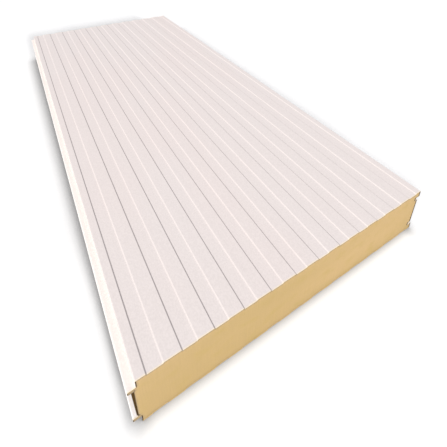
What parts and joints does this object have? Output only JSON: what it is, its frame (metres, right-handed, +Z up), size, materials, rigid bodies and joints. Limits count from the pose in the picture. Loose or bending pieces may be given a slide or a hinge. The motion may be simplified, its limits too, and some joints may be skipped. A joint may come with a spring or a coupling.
{
  "type": "insulated sandwich panel",
  "caption": "Flat insulated panel: rigid foam core between two lined steel facings, with double tongue and groove along its long edges.",
  "frame": {"origin": "centre of the panel's footprint, on the level floor under its lower facing", "axes": "+X across the panel from the tongue edge to the groove edge, +Y along its length, +Z up out of the upper facing"},
  "size_m": [1.17, 2.64, 0.2],
  "materials": {
    "coated_steel": "matt polyester coil coating, off-white",
    "rigid_foam": "sawn closed-cell foam, tan"
  },
  "bodies": {
    "root": {"upper_facing": "coated_steel", "lower_facing": "coated_steel", "foam_core": "rigid_foam"}
  },
  "joints": []
}
